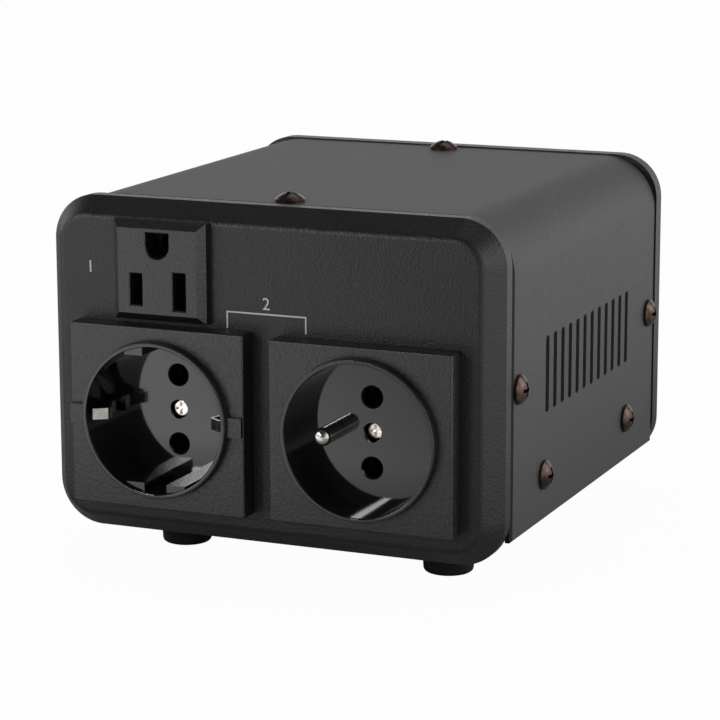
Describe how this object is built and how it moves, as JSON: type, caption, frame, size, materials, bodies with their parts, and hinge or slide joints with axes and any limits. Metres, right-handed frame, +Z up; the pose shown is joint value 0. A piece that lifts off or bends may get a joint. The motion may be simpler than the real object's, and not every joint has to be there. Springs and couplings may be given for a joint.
{
  "type": "voltage converter",
  "caption": "Desktop transformer unit in a sheet steel case with moulded ends, round and flat-blade outlet sockets in front, and an inlet, switch, breaker and selector behind.",
  "frame": {"origin": "on the table, below the middle of the whole object", "axes": "+X to the right of someone facing the sockets, +Y back, away from the sockets, +Z up"},
  "size_m": [0.1344, 0.1612, 0.1034],
  "materials": {
    "panel_plastic": "fine moulded texture",
    "cover_paint": "satin powder coat",
    "zinc_steel": "zinc plated",
    "foot_rubber": "matt",
    "dark_steel": "browned, satin",
    "socket_plastic": "gloss",
    "inner_plastic": "matt",
    "contact_brass": "satin",
    "nickel": "nickel plated",
    "rocker_plastic": "gloss",
    "button_plastic": "satin",
    "slider_plastic": "satin",
    "core_steel": "varnished laminations",
    "bobbin_plastic": "satin",
    "winding_copper": "varnished",
    "brown_insulation": "satin",
    "blue_insulation": "satin",
    "earth_insulation": "satin"
  },
  "bodies": {
    "case": {"front_panel": "panel_plastic", "rear_panel": "panel_plastic", "cover": "cover_paint", "base_tray": "zinc_steel", "feet": "foot_rubber", "foot_screws": "zinc_steel", "hex_nuts": "zinc_steel", "tray_bolts": "zinc_steel", "case_screws": "dark_steel", "side_earth_socket": "socket_plastic", "side_earth_clip": "nickel", "pin_earth_socket": "socket_plastic", "earth_pin": "nickel", "side_earth_contacts": "contact_brass", "side_earth_cap": "inner_plastic", "pin_earth_contacts": "contact_brass", "pin_earth_cap": "inner_plastic", "small_screws": "zinc_steel", "small_nuts": "zinc_steel", "flat_blade_socket": "socket_plastic", "flat_blade_contacts": "contact_brass", "flat_blade_cap": "inner_plastic", "inlet_body": "socket_plastic", "inlet_pins": "nickel", "switch_frame": "rocker_plastic", "breaker_body": "inner_plastic", "breaker_nut": "nickel", "selector_body": "inner_plastic", "selector_board": "inner_plastic", "rear_terminals": "contact_brass", "transformer_core": "core_steel", "bobbin": "bobbin_plastic", "primary_winding": "winding_copper", "secondary_winding": "winding_copper", "transformer_frame": "zinc_steel", "supply_wires": "brown_insulation", "outlet_wires": "blue_insulation", "earth_wires": "earth_insulation"},
    "rocker": {"switch_rocker": "rocker_plastic"},
    "reset_button": {"breaker_button": "button_plastic"},
    "selector_slide": {"selector_slider": "slider_plastic"}
  },
  "joints": [
    {"name": "rocker_tilt", "type": "hinge", "parent": "case", "child": "rocker", "pos_m": [0.038, 0.0715, 0.0388], "axis": [1, 0, 0], "range_deg": [0, 22]},
    {"name": "reset_press", "type": "slide", "parent": "case", "child": "reset_button", "axis": [0, -1, 0], "range_m": [0, 0.0025], "stiffness_N_per_m": 300, "springref_m": -0.004},
    {"name": "selector_travel", "type": "slide", "parent": "case", "child": "selector_slide", "axis": [1, 0, 0], "range_m": [0, 0.0058]}
  ]
}
